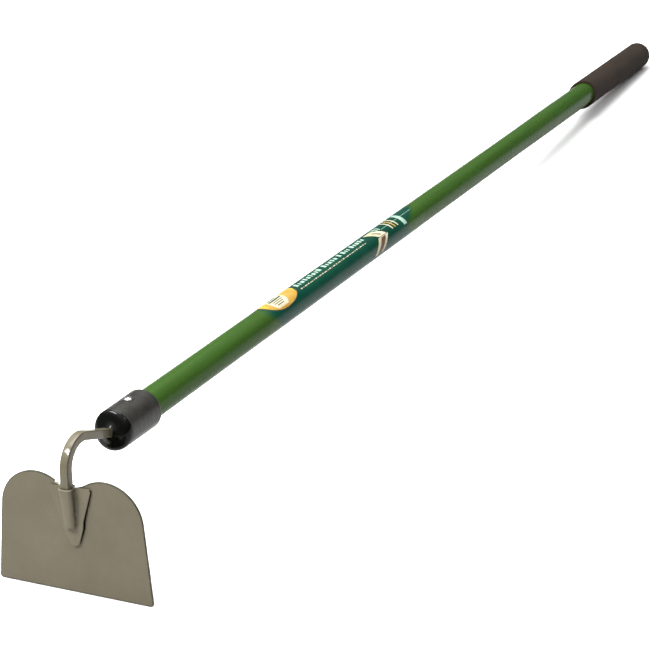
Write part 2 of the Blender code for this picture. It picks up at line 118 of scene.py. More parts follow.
def fillet(before, corner, after, radius, steps):
    """Points along the arc that rounds a corner of a path in space."""
    back, ahead = (before - corner).normalized(), (after - corner).normalized()
    half = back.angle(ahead) / 2.0
    centre = corner + (back + ahead).normalized() * (radius / math.sin(half))
    start = corner + back * (radius / math.tan(half)) - centre
    end = corner + ahead * (radius / math.tan(half)) - centre
    sweep = start.angle(end)
    points = []
    for step in range(steps + 1):
        share = step / steps
        offset = start * math.sin((1.0 - share) * sweep) + end * math.sin(share * sweep)
        points.append(centre + offset / math.sin(sweep))
    return points


def skin(shape, grid):
    """Fills the cells of a grid of vertices and gives back the new faces."""
    return [shape.faces.new((near[k], near[k + 1], far[k + 1], far[k]))
            for near, far in zip(grid, grid[1:]) for k in range(len(near) - 1)]


def loft(rings):
    """A closed body through rings of equally many points."""
    shape = bmesh.new()
    loops = [[shape.verts.new(p) for p in ring] for ring in rings]
    skin(shape, [loop + loop[:1] for loop in loops])
    shape.faces.new(loops[0])
    shape.faces.new(loops[-1])
    return shape


def lathe(profile, steps=128, shift=None):
    """Spins (x, radius) points about X. A closed profile repeats its first point."""
    shape = bmesh.new()
    loops = []
    for x, r in profile:
        if r < TINY:
            loops.append([shape.verts.new((x, 0.0, 0.0))])
            continue
        ring = []
        for k in range(steps):
            a = 2.0 * math.pi * k / steps
            ring.append(shape.verts.new((x, r * math.sin(a), r * math.cos(a))))
        loops.append(ring)
    for near, far in zip(loops, loops[1:]):
        for k in range(steps):
            m = (k + 1) % steps
            face = [near[k % len(near)], near[m % len(near)], far[m % len(far)], far[k % len(far)]]
            face = list(dict.fromkeys(face))
            if len(face) > 2:
                shape.faces.new(face)
    bmesh.ops.remove_doubles(shape, verts=shape.verts, dist=TINY)
    if shift:
        for v in shape.verts:
            v.co = shift(v.co)
    return shape


def mesh_object(name, shape, matrix, sharp=SHARP):
    bmesh.ops.recalc_face_normals(shape, faces=shape.faces)
    mesh = bpy.data.meshes.new(name)
    shape.to_mesh(mesh)
    shape.free()
    mesh.shade_smooth()
    mesh.set_sharp_from_angle(angle=math.radians(sharp))
    obj = bpy.data.objects.new(name, mesh)
    bpy.context.scene.collection.objects.link(obj)
    obj.matrix_world = matrix
    return obj


def piece(name, shape, matrix, materials, slot, *nodes, sharp=SHARP):
    """One visible piece, and the CAD nodes that it stands in for."""
    obj = mesh_object(name, shape, matrix, sharp)
    for material in materials:
        obj.data.materials.append(material)
    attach(obj, "root")
    if nodes:
        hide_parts(*nodes)
    return obj


def carve(obj, cutter):
    """Cuts one object by another for good and removes the cutter."""
    boolean = obj.modifiers.new("cut", "BOOLEAN")
    boolean.operation, boolean.solver, boolean.object = "DIFFERENCE", "EXACT", cutter
    bpy.context.view_layer.update()
    cut = bpy.data.meshes.new_from_object(obj.evaluated_get(bpy.context.evaluated_depsgraph_get()))
    obj.modifiers.clear()
    obj.data = cut
    bpy.data.objects.remove(cutter)
    cut.shade_smooth()
    cut.set_sharp_from_angle(angle=math.radians(SHARP))


def wobble(p, scale, amount, seed):
    """Smooth seeded unevenness at a point, between -amount and +amount."""
    return amount * noise.noise(Vector(p) * scale + Vector((seed, seed * 0.7, -seed)))


# ---------------------------------------------------------------- materials
def tint(colour, factor):
    return tuple(c * factor for c in colour)


class Tree:
    """Short-hand for building a node tree."""

    def __init__(self, tree):
        self.tree = tree

    def feed(self, socket, value):
        """Links a socket to another, or gives it a plain value."""
        if isinstance(value, bpy.types.NodeSocket):
            self.tree.links.new(value, socket)
        elif socket.type == "RGBA" and isinstance(value, tuple):
            socket.default_value = (*value, 1.0)
        else:
            socket.default_value = value

    def node(self, kind, inputs=(), **settings):
        made = self.tree.nodes.new("ShaderNode" + kind)
        for key, value in settings.items():
            setattr(made, key, value)
        for key, value in dict(inputs).items():
            self.feed(made.inputs[key], value)
        return made

    def mix(self, factor, a, b):
        """Colour a where the factor is 0 and b where it is 1."""
        made = self.node("Mix", data_type="RGBA")
        for socket, value in ((made.inputs[0], factor), (made.inputs[6], a), (made.inputs[7], b)):
            self.feed(socket, value)
        return made.outputs[2]

    def math(self, operation, a, b=0.0, c=0.0):
        made = self.node("Math", operation=operation)
        for socket, value in zip(made.inputs, (a, b, c)):
            self.feed(socket, value)
        return made.outputs[0]

    def span(self, value, low, high, to_low=0.0, to_high=1.0, **settings):
        """Stretches the range from low to high over another range, and clamps it."""
        made = self.node("MapRange", {
            "Value": value, "From Min": low, "From Max": high, "To Min": to_low, "To Max": to_high,
        }, **settings)
        return made.outputs[0]


class Surface(Tree):
    """One material on a Principled shader, textured in its object's own space."""

    def __init__(self, name, **values):
        self.material = bpy.data.materials.new(name)
        self.material.use_nodes = True
        super().__init__(self.material.node_tree)
        self.shader = self.tree.nodes["Principled BSDF"]
        for socket, value in values.items():
            self.shader.inputs[socket.replace("_", " ")].default_value = value
        self.place = self.node("TexCoord").outputs["Object"]

    def noise(self, scale, detail=3.0, roughness=0.55, place=None):
        made = self.node("TexNoise", {
            "Vector": place or self.place, "Scale": scale, "Detail": detail, "Roughness": roughness,
        })
        return made.outputs["Fac"]

    def cells(self, scale):
        made = self.node("TexVoronoi", {"Vector": self.place, "Scale": scale, "Randomness": 1.0})
        return made.outputs["Distance"]

    def attribute(self, name):
        return self.node("Attribute", attribute_name=name).outputs["Fac"]

    def set(self, socket, value):
        self.tree.links.new(value, self.shader.inputs[socket])

    def bump(self, *layers):
        """Adds up (height value, depth in metres) layers."""
        normal = None
        for value, depth in layers:
            inputs = {"Height": value, "Strength": 1.0, "Distance": depth}
            if normal:
                inputs["Normal"] = normal
            normal = self.node("Bump", inputs).outputs[0]
        self.set("Normal", normal)


def paint(name, colour, roughness, gloss=0.30):
    """Sprayed paint on steel: soft clouding, orange peel, dust nibs, painted shade where the mesh marks rims,
    creases and gaps, and a painted highlight where it marks a glinting edge.
    """
    n = Surface(name, Specular_IOR_Level=gloss)
    cloud = n.noise(22.0, 4.0, 0.6)
    base = n.mix(n.span(cloud, 0.30, 0.70), tint(colour, 0.90), tint(colour, 1.07))
    nibs = n.span(n.noise(420.0, 3.0, 0.7), 0.40, 0.72, 0.0, 0.35)
    base = n.mix(nibs, base, tint(colour, 0.86))
    # Painted shade: near-black is mixed in where the mesh marks rims, creases and gaps that lie in shadow.
    shade_mask = n.math("MULTIPLY", n.attribute("painted_shade"), n.span(n.noise(160.0, 2.0), 0.3, 0.6, 0.55, 1.0))
    base = n.mix(shade_mask, base, (0.026, 0.024, 0.015))
    # Painted highlight: a pale colour is mixed in where the mesh marks an edge that catches the light, as a
    # glint.
    glint_mask = n.math("MULTIPLY", n.attribute("painted_glint"), n.span(n.noise(330.0, 2.0), 0.36, 0.52, 0.15, 1.0))
    n.set("Base Color", n.mix(glint_mask, base, (0.62, 0.60, 0.54)))
    n.set("Roughness", n.span(n.noise(60.0, 4.0, 0.6), 0.25, 0.75, roughness - 0.06, roughness + 0.08))
    n.bump((cloud, 0.0004), (n.noise(170.0, 2.0), 0.00006), (n.noise(700.0, 2.0), 0.00002))
    return n.material


def gel_coat(n):
    """The tube's green, with long faint streaks and slow clouding, and the streaks by themselves."""
    along = n.node("Mapping", {"Vector": n.place, "Scale": (6.0, 220.0, 220.0)}).outputs[0]
    streak = n.noise(1.0, 4.0, 0.6, along)
    base = n.mix(n.span(streak, 0.30, 0.72), tint(GREEN, 0.86), tint(GREEN, 1.10))
    cloud = n.span(n.noise(14.0, 3.0), 0.35, 0.75, 0.0, 0.30)
    return n.mix(cloud, base, (GREEN[0] * 1.25, GREEN[1] * 0.95, GREEN[2])), streak


def fibreglass(name):
    n = Surface(name, Specular_IOR_Level=0.07)
    base, streak = gel_coat(n)
    n.set("Base Color", base)
    n.set("Roughness", n.span(n.noise(90.0, 3.0), 0.3, 0.7, 0.20, 0.30))
    n.bump((streak, 0.00003), (n.noise(60.0, 2.0), 0.00004))
    return n.material


def film(name):
    """Printed wrap that fades from the tube's green to teal at its slanted ends."""
    n = Surface(name, Specular_IOR_Level=0.09)
    green, streak = gel_coat(n)
    split = n.node("SeparateXYZ", {"Vector": n.place}).outputs
    turn = n.math("ARCTAN2", n.math("MULTIPLY", split["Y"], -1.0), split["Z"])

    def slanted(middle, reach, phase):
        wave = n.math("COSINE", n.math("MULTIPLY_ADD", turn, 2.0, math.radians(phase)))
        return n.math("MULTIPLY_ADD", wave, reach, middle)

    end = slanted(0.6350, 0.0185, 14.0)
    start = slanted(0.2860, -0.0080, -60.0)
    x = n.math("ADD", split["X"], n.math("MULTIPLY_ADD", n.noise(60.0, 2.0), 0.010, -0.005))
    inside = n.math("MULTIPLY",
                    n.span(n.math("SUBTRACT", x, start), -0.003, 0.009),
                    n.span(n.math("SUBTRACT", end, x), -0.004, 0.012))
    cloud = n.span(n.noise(30.0, 3.0), 0.3, 0.7)
    teal = n.mix(cloud, tint(TEAL, 0.82), (TEAL[0] + 0.004, TEAL[1] * 1.12, TEAL[2] * 1.05))
    n.set("Base Color", n.mix(inside, green, teal))
    n.set("Roughness", n.span(n.noise(120.0, 3.0), 0.3, 0.7, 0.18, 0.26))
    n.bump((streak, 0.00002), (n.noise(35.0, 2.0), 0.00008))
    return n.material


def ink(name, colour, other, speckle=0.35):
    """Printed colour that mottles towards another one, as halftone ink does."""
    n = Surface(name, Specular_IOR_Level=0.09)
    cloud = n.span(n.noise(110.0, 3.0), 0.35, 0.70)
    dots = n.span(n.noise(900.0, 1.0), 0.45, 0.65, 0.0, speckle)
    n.set("Base Color", n.mix(dots, n.mix(cloud, colour, other), tint(other, 0.75)))
    n.set("Roughness", n.span(n.noise(150.0), 0.3, 0.7, 0.26, 0.38))
    return n.material


def satin_black(name):
    """Finely textured satin black sleeve with a little dust in the texture."""
    n = Surface(name, Specular_IOR_Level=0.24)
    grain = n.noise(520.0, 3.0, 0.65)
    cloud = n.noise(70.0, 3.0)
    base = n.mix(n.span(cloud, 0.3, 0.7), (0.013, 0.0127, 0.0110), (0.026, 0.0245, 0.0205))
    n.set("Base Color", n.mix(n.span(grain, 0.56, 0.74, 0.0, 0.30), base, (0.055, 0.052, 0.045)))
    n.set("Roughness", n.span(cloud, 0.25, 0.75, 0.27, 0.36))
    n.bump((grain, 0.00010), (n.noise(160.0, 2.0), 0.00012))
    return n.material


def gloss_black(name):
    """Polished black moulding with slow waves in its surface."""
    n = Surface(name, Specular_IOR_Level=0.15)
    cloud = n.span(n.noise(90.0, 3.0), 0.3, 0.7)
    n.set("Base Color", n.mix(cloud, (0.0022, 0.0026, 0.0021), (0.0042, 0.0048, 0.0038)))
    n.set("Roughness", n.span(n.noise(240.0, 3.0), 0.35, 0.75, 0.08, 0.14))
    n.bump((n.noise(120.0, 2.0), 0.00010), (n.noise(600.0, 2.0), 0.00001))
    return n.material


def zinc(name):
    """Bright plated steel."""
    n = Surface(name, Metallic=1.0)
    n.set("Base Color", n.mix(n.span(n.noise(700.0, 3.0), 0.3, 0.7), (0.20, 0.20, 0.19), (0.42, 0.42, 0.40)))
    n.set("Roughness", n.span(n.noise(900.0, 2.0), 0.3, 0.7, 0.16, 0.30))
    n.bump((n.noise(1400.0, 2.0), 0.00002))
    return n.material


def foam(name):
    """Closed-cell foam: open pores of two sizes, dusty brown mottling, a dry sheen."""
    n = Surface(name, Specular_IOR_Level=0.15, Sheen_Weight=0.02, Sheen_Roughness=0.6)
    fine, coarse = n.cells(950.0), n.cells(330.0)
    cloud = n.noise(45.0, 4.0, 0.65)
    base = n.mix(n.span(cloud, 0.30, 0.72), (0.011, 0.0072, 0.0042), (0.026, 0.0155, 0.0090))
    base = n.mix(n.span(fine, 0.05, 0.42, 0.55, 0.0), base, (0.007, 0.0055, 0.0045))
    dust = n.span(n.noise(260.0, 3.0, 0.7), 0.58, 0.78, 0.0, 0.35)
    n.set("Base Color", n.mix(dust, base, (0.046, 0.033, 0.022)))
    n.set("Roughness", n.span(cloud, 0.25, 0.75, 0.84, 0.96))
    n.bump((n.noise(120.0, 3.0), 0.00035), (coarse, 0.00022), (fine, 0.00016))
    return n.material


def painted_shadow_black(name):
    """Matt near-black that paints the shadow in a gap."""
    n = Surface(name, Specular_IOR_Level=0.0)
    n.set("Base Color", n.mix(n.noise(400.0), (0.004, 0.0035, 0.0025), (0.010, 0.008, 0.006)))
    n.set("Roughness", n.span(n.noise(500.0), 0.3, 0.7, 0.90, 1.0))
    n.bump((n.noise(700.0), 0.00004))
    return n.material


def moulded(name):
    """Plain grained black plastic."""
    n = Surface(name)
    grain = n.noise(600.0, 3.0)
    n.set("Base Color", n.mix(n.span(grain, 0.3, 0.7), (0.016, 0.016, 0.016), (0.030, 0.030, 0.029)))
    n.set("Roughness", n.span(grain, 0.3, 0.7, 0.42, 0.58))
    n.bump((grain, 0.00005))
    return n.material


# ---------------------------------------------------------------- blade
def blade_outline(inset):
    """The blade's outline, moved inwards by inset, as (y, z) points."""
    lobe_r, notch_r = LOBE_RADIUS - inset, NOTCH_RADIUS + inset
    reach = LOBE_RADIUS + NOTCH_RADIUS
    swing = math.degrees(math.asin(LOBE_Y / reach))
    lobe = (LOBE_Y, LOBE_TOP - LOBE_RADIUS)
    notch = (0.0, lobe[1] + math.sqrt(reach ** 2 - LOBE_Y ** 2))
    flare = math.degrees(BLADE_FLARE)
    corner = (BLADE_EDGE_HALF - BLADE_CORNER, BLADE_CORNER - BLADE_DEPTH)
    half = arc(notch, notch_r, -90, -90 + swing, 20)
    half += arc(lobe, lobe_r, 90 + swing, flare, 60)[1:]
    slip = max(inset - BLADE_CORNER, 0.0)
    half += [(y - slip, z + slip) for y, z in arc(corner, max(BLADE_CORNER - inset, 0.0002), flare, -90, 8)]
    return half + [(-y, z) for y, z in reversed(half[1:])]


def make_blade():
    """A plate with rounded rims, ground to a bevel along its cutting edge."""
    t, r = BLADE_THICKNESS, RIM_ROUND
    turns = np.radians([22, 45, 68, 90])
    stations = [(0.0, FACE_INSET), (0.0, RIM_INSET), (0.0, r)]
    stations += [(r - r * math.cos(a), r - r * math.sin(a)) for a in turns]
    stations += [(t - r + r * math.sin(a), r - r * math.cos(a)) for a in turns]
    stations += [(t, RIM_INSET), (t, FACE_INSET)]
    shape = loft([[(x, y, z) for y, z in blade_outline(inset)] for x, inset in stations])
    cut = bmesh.ops.bisect_plane(
        shape, geom=shape.verts[:] + shape.edges[:] + shape.faces[:], clear_outer=True,
        plane_co=(EDGE_LAND, 0.0, -BLADE_DEPTH), plane_no=(EDGE_BEVEL, 0.0, EDGE_LAND - t))
    bmesh.ops.contextual_create(shape, geom=[e for e in cut["geom_cut"] if isinstance(e, bmesh.types.BMEdge)])

    painted_shade = shape.verts.layers.float.new("painted_shade")
    painted_glint = shape.verts.layers.float.new("painted_glint")
    border = [Vector(p) for p in blade_outline(0.0)]
    for v in shape.verts:
        near = min((v.co.yz - p).length for p in border)
        # Painted shade: darker paint all round the outline and along the cutting edge, where the rims turn
        # away from the light.
        v[painted_shade] = max(clamp((0.0012 - near) / 0.0009), clamp(1.0 - (v.co.z + BLADE_DEPTH) / 0.0012))
        # Painted highlight: a glint on the top edge beside the notch, with the painted shade taken off there.
        beside_notch = 0.0075 < v.co.y < 0.0145 and v.co.z > -0.006
        if beside_notch and near < 0.0006:
            v[painted_shade], v[painted_glint] = 0.0, 1.0
    piece("blade_plate", shape, BLADE, [BLADE_PAINT], "blade_paint", "blade", sharp=50.0)


# ---------------------------------------------------------------- shank
def shank_corners():
    """The bar's centre line: tang, where it starts to rise, knee, tail's end, tail's top."""
    tang, rise = Vector((TANG_END, 0.0, 0.0)), Vector((NECK_START, 0.0, 0.0))
    offset = -(GAP + BAR_THICKNESS / 2.0)
    tail_top, tail = LEAN @ Vector((offset, 0.0, 0.0)), LEAN @ Vector((offset, 0.0, -TAIL_END))
    down = (tail - tail_top).normalized()
    heading = Vector((-math.cos(NECK_RISE), 0.0, math.sin(NECK_RISE)))
    across = tail_top - rise
    reach = (across.x * down.z - across.z * down.x) / (heading.x * down.z - heading.z * down.x)
    return tang, rise, rise + heading * reach, tail, tail_top


def rounded_rectangle(half_width, half_height, corner, steps=4):
    points = []
    for start, side, end in ((0, 1, 1), (90, -1, 1), (180, -1, -1), (270, 1, -1)):
        centre = (side * (half_width - corner), end * (half_height - corner))
        points += arc(centre, corner, start, start + 90, steps)
    return points


def bar_rings(path, allowance, uneven=0.0):
    """The bar's section, grown by an allowance, at each point of a path."""
    section = rounded_rectangle(
        BAR_WIDTH / 2.0 + allowance, BAR_THICKNESS / 2.0 + allowance, BAR_CORNER + allowance)
    rings = []
    for i, point in enumerate(path):
        ahead = path[min(i + 1, len(path) - 1)] - path[max(i - 1, 0)]
        upright = Vector((-ahead.z, 0.0, ahead.x)).normalized()
        ring = []
        for y, h in section:
            grow = 1.0 + wobble(point + Vector((0, y, h)), 90.0, uneven, 3.1)
            ring.append(point + Vector((0.0, y * grow, 0.0)) - upright * h * grow)
        rings.append(ring)
    return rings


def divided(points, gap):
    """A path with its long straight runs broken into steps no longer than gap."""
    out = [points[0]]
    for a, b in zip(points, points[1:]):
        steps = max(1, math.ceil((b - a).length / gap))
        out += [a.lerp(b, (i + 1) / steps) for i in range(steps)]
    return out


def make_shank():
    """The square bar, a little uneven as forged, with painted shade at its root and along its corners."""
    tang, rise, knee, tail, tail_top = shank_corners()
    path = [tang] + fillet(tang, rise, knee, NECK_START_RADIUS, 12)
    path += fillet(rise, knee, tail, NECK_BEND_RADIUS, 44) + [tail_top]
    rings = bar_rings(divided(path, 0.0025), 0.0, 0.012)
    section = rounded_rectangle(TAIL_WIDTH / 2.0, TAIL_THICKNESS / 2.0, BAR_CORNER)
    middle = GAP + TAIL_THICKNESS / 2.0
    rings.append([LEAN @ Vector((-middle - h, TAIL_SHIFT + y, -TAIL_END)) for y, h in section])
    shape = loft(rings)
    painted_shade = shape.verts.layers.float.new("painted_shade")
    # Painted shade: darker towards the nose, where the bar passes into shadow, and across each rounded
    # corner.
    across_corner = (0.0, 0.25, 0.85, 0.60, 0.10)
    for i, v in enumerate(shape.verts):
        root = 0.80 * clamp((v.co.x + 0.0160) / 0.0040)
        v[painted_shade] = max(root, across_corner[i % len(across_corner)])
    piece("shank_bar", shape, TOOL, [SHANK_PAINT], "shank_paint", "shank", sharp=60.0)


# ---------------------------------------------------------------- patch over the shank's tail
def turned(y, z):
    """A point of the patch, turned and shifted in the blade's plane."""
    cos_turn, sin_turn = math.cos(PATCH_TURN), math.sin(PATCH_TURN)
    return y * cos_turn - z * sin_turn + PATCH_OFFSET, y * sin_turn + z * cos_turn


def patch_outline():
    """Shield outline with softly rounded corners, as (y, z) points."""
    right = [(0.0195, 0.0), (0.0207, -0.0025), (0.0112, -0.0300), (0.0102, -0.0370)]
    radii = [0.0009, 0.0014, 0.0060, 0.0060]
    tip_radius = 0.0056
    tip = arc((0.0, tip_radius - PATCH_DEPTH), tip_radius, -15, -90, 14)
    corners = right + tip + [(-y, z) for y, z in reversed((right + tip)[:-1])]
    radii = radii + [0.0] * (2 * len(tip) - 1) + radii[::-1]
    points = []
    for i, radius in enumerate(radii):
        near = [Vector((y, 0.0, z)) for y, z in (corners[k % len(corners)] for k in (i - 1, i, i + 1))]
        points += fillet(*near, radius, 6) if radius else [near[1]]
    return [turned(p.x, p.z) for p in points]


def outline_span(outline, z):
    """The first and last y at which a level line crosses the outline."""
    cuts = []
    for (y0, z0), (y1, z1) in zip(outline, outline[1:] + outline[:1]):
        if (z0 - z) * (z1 - z) <= 0.0 and z0 != z1:
            cuts.append(y0 + (y1 - y0) * (z - z0) / (z1 - z0))
    return min(cuts), max(cuts)


def flange_levels(top, bottom):
    """Levels of the flange's rows, closest together at its top and its tip."""
    tip = 1.0 - np.sin(np.radians(np.linspace(4, 89.3, 16)))
    return np.concatenate([np.linspace(top - 0.00005, top - 0.0030, 10),
                           np.linspace(top - 0.0035, bottom + 0.0060, 74),
                           bottom + 0.0055 * tip])


def flange_places(left, right):
    """Places across one row of the flange, closest together at its rims."""
    width = right - left
    rims = [e * min(1.0, width / 0.004) for e in (0.0, 0.00008, 0.0002, 0.0004, 0.0007, 0.0011)]
    if width > 0.012:
        middle = np.linspace(left, right, 41)[3:-3]
    else:
        middle = np.linspace(left + rims[-1], right - rims[-1], 37)[1:-1]
    return sorted([left + e for e in rims] + list(middle) + [right - e for e in rims])


def waist(z):
    """How near a level is to the shield's waist, where its side stands furthest off the blade."""
    return math.exp(-((z - WAIST_Z) / WAIST_REACH) ** 2)


def make_flange(rows, top):
    """The pressed shield: rounded rims, one side that lifts off the blade, and painted shade along its rims.
    """
    shape = bmesh.new()
    painted_shade = shape.verts.layers.float.new("painted_shade")
    outer, inner = [], []
    for z, left, right in rows:
        row_out, row_in = [], []
        for y in flange_places(left, right):
            near = min(y - left, right - y, max(top - z, 0.0) * 1.2)
            soft = PATCH_ROUND - math.sqrt(max(PATCH_ROUND ** 2 - max(PATCH_ROUND - near, 0.0) ** 2, 0.0))
            side = clamp((TAIL_SHIFT - y - 0.0045) / 0.0060)
            lift = 0.00100 * waist(z) * side ** 2 + 0.00025 * side
            front = -GAP - PATCH_THICKNESS - 0.45 * lift
            a = shape.verts.new((front + soft, y, z))
            b = shape.verts.new((front + PATCH_THICKNESS - 0.0009 * side ** 2, y, z))
            # Painted shade: the inner face fully dark, the outer face darker near its rims, most on the
            # lifted side.
            a[painted_shade], b[painted_shade] = (1.0 - min(near / PATCH_SHADE_REACH, 1.0)) * (0.25 + 0.65 * side ** 2), 1.0
            row_out.append(a)
            row_in.append(b)
        outer.append(row_out)
        inner.append(row_in)
    skin(shape, outer)
    skin(shape, inner)
    for end in (0, -1):
        skin(shape, [(a[end], b[end]) for a, b in zip(outer, inner)])
        skin(shape, [outer[end], inner[end]])
    piece("patch_flange", shape, BLADE, [PATCH_PAINT], "patch_paint", "shank_patch", sharp=55.0)


def make_gap_shadow(border):
    """A thin strip of painted shadow on the blade along the flange's lifted side."""
    shape = bmesh.new()
    strip = []
    for z, left in border:
        out = 0.00020 + 0.00055 * waist(z)
        strip.append([shape.verts.new((-0.00006, y, z)) for y in (left - out, left + 0.0014)])
    skin(shape, strip)
    piece("patch_gap", shape, BLADE, [GAP_SHADOW], "patch_paint")


def channel_section(depth, grow, spread):
    """Hat over the bar's tail at one depth, from its right foot to its left, as (y, height) points."""
    share = clamp(depth / TAIL_END)
    wall = GAP + PATCH_THICKNESS + grow
    half = (BAR_WIDTH + (TAIL_WIDTH - BAR_WIDTH) * share) / 2.0 + wall
    crown = BAR_THICKNESS + (TAIL_THICKNESS - BAR_THICKNESS) * share + wall
    middle = TAIL_SHIFT * share
    r = min(0.0034, half * 0.9, crown * 0.6)
    right = [(half + spread - spread * math.sin(a), PATCH_THICKNESS + spread - spread * math.cos(a))
             for a in np.radians([0, 22, 45, 68, 90])]
    right += [(half - r + r * math.cos(a), crown - r + r * math.sin(a))
              for a in np.radians(np.linspace(0, 84, 9))]
    right.append((half * 0.25, crown + 0.00012))
    return [(middle + y, h) for y, h in right] + [(middle - y, h) for y, h in reversed(right)]


def make_channel():
    """The raised channel: a rolled lip at its mouth, straight walls, and a domed end."""
    stations = [(0.0120, -PATCH_THICKNESS, 0.0), (0.0010, -PATCH_THICKNESS, 0.0), (0.0, -0.0013, 0.0),
                (-0.0002, -0.0007, 0.0002), (0.0, 0.0002, 0.0008), (0.0006, 0.0005, 0.0014),
                (0.0018, 0.0003, 0.0016), (0.0035, 0.0, 0.0016)]
    stations += [(depth, 0.0, 0.0015) for depth in np.linspace(0.006, TAIL_END, 14)]
    rings = [[(-GAP - h, y, -depth) for y, h in channel_section(depth, grow, spread)]
             for depth, grow, spread in stations]
    for a in np.radians([18, 36, 52, 66, 78, 86]):
        keep, run = math.cos(a), 0.0044 * math.sin(a)
        rings.append([(-GAP - PATCH_THICKNESS - (h - PATCH_THICKNESS) * keep,
                       TAIL_SHIFT + (y - TAIL_SHIFT) * (0.45 + 0.55 * keep), -TAIL_END - run)
                      for y, h in channel_section(TAIL_END, 0.0, 0.0014)])
    shape = bmesh.new()
    painted_shade = shape.verts.layers.float.new("painted_shade")
    loops = [[shape.verts.new(p) for p in ring] for ring in rings]
    skin(shape, loops)
    # Painted shade: darker up the feet of the walls, most in the crease, and fully dark on the inner face at
    # the mouth.
    crease = (0.25, 0.45, 0.62, 0.75, 0.75, 0.55, 0.25)
    for ring, (_, grow, _) in zip(loops, stations):
        for i, v in enumerate(ring):
            from_foot = min(i, len(ring) - 1 - i)
            v[painted_shade] = crease[from_foot] if from_foot < len(crease) else 0.0
            if grow < -0.001:
                v[painted_shade] = 1.0
    piece("patch_channel", shape, BLADE, [PATCH_PAINT], "patch_paint", "shank_patch", sharp=70.0)


def make_patch():
    outline = patch_outline()
    levels = [z for _, z in outline]
    top, bottom = max(levels), min(levels)
    rows = [(z, *outline_span(outline, z)) for z in flange_levels(top, bottom)]
    make_flange(rows, top)
    # Painted shadow strip on the blade under the flange's lifted side.
    make_gap_shadow([(z, left) for z, left, _ in rows if bottom + 0.0030 < z < top - 0.0012])
    make_channel()


def make_weld():
    """A short run of overlapping weld scales along the notch, behind the bar."""
    reach = LOBE_RADIUS + NOTCH_RADIUS
    centre_z = LOBE_TOP - LOBE_RADIUS + math.sqrt(reach ** 2 - LOBE_Y ** 2)
    radius = NOTCH_RADIUS - GAP - WELD_RADIUS
    rings = []
    for share in np.linspace(-1.0, 1.0, 41):
        angle = share * WELD_HALF / radius
        size = WELD_RADIUS * math.sqrt(max(1.0 - share ** 2, 0.03)) * (1.0 + 0.07 * math.sin(share * 22.0))
        y, z = radius * math.sin(angle), centre_z - radius * math.cos(angle) - (WELD_RADIUS - size)
        rings.append([(GAP + WELD_RADIUS + a, y, z + b) for a, b in arc((0.0, 0.0), size, 0, 345, 23)])
    shape = loft(rings)
    # Painted shade: the whole bead is darkened, as it sits in the shadow behind the bar.
    painted_shade = shape.verts.layers.float.new("painted_shade")
    for v in shape.verts:
        v[painted_shade] = 0.9
    piece("weld_bead", shape, BLADE, [PATCH_PAINT], "weld_paint", "neck_weld", sharp=60.0)


# ---------------------------------------------------------------- nose, ferrule, screw
def on_screw_axis():
    """The screw's own frame, +X out of the ferrule's side."""
    place = Matrix.Translation((SCREW_X, 0.0, 0.0))
    return TOOL @ place @ Matrix.Rotation(-math.pi / 2.0, 4, "Y") @ Matrix.Rotation(-SCREW_TURN, 4, "X")


def screw_cutter(start, radius, steps=48):
    """A round cutter on the screw's axis, from one height out past the ferrule."""
    profile = [(start, 0.0), (start, radius), (CUTTER_TOP, radius), (CUTTER_TOP, 0.0)]
    return mesh_object("cutter", lathe(profile, steps), on_screw_axis())


def make_nose():
    """Glossy moulding that swells round the bar and droops; its stem fills the tube's front."""
    back = FERRULE_START - GAP
    power = 2.0 / NOSE_BLUNTNESS
    profile = []
    for angle in np.linspace(0.0, math.pi / 2.0, 57):
        radius = NOSE_RADIUS * clamp(math.sin(angle)) ** power
        swell = NOSE_SWELL * (1.0 + math.cos(math.pi * clamp(radius / NOSE_SWELL_RADIUS))) / 2.0
        profile.append((back - NOSE_LENGTH * clamp(math.cos(angle)) ** power - swell, radius))
    stem = HANDLE_BORE - GAP
    profile += [(back, NOSE_RADIUS - 0.0004), (back, HANDLE_RADIUS), (HANDLE_START - GAP, HANDLE_RADIUS),
                (HANDLE_START - GAP, stem), (STEM_END, stem), (STEM_END, 0.0)]

    def droop(p):
        ahead = max(back - p.x, 0.0)
        return Vector((p.x + ahead * NOSE_DROOP * p.z / NOSE_RADIUS, p.y, p.z))

    nose = piece("nose_plug", lathe(profile, 160, droop), TOOL, [NOSE_GLOSS], "nose_gloss", "tang_plug")
    tang, rise, knee, _, _ = shank_corners()
    path = [Vector((STEM_END + CUTTER_PASS, 0.0, 0.0))] + fillet(tang, rise, knee, NECK_START_RADIUS, 10)
    path.append(rise + (knee - rise).normalized() * (NOSE_LENGTH + CUTTER_PASS))
    carve(nose, mesh_object("cutter", loft(bar_rings(path, GAP)), TOOL))
    carve(nose, screw_cutter(HOLE_START, HOLE_RADIUS))


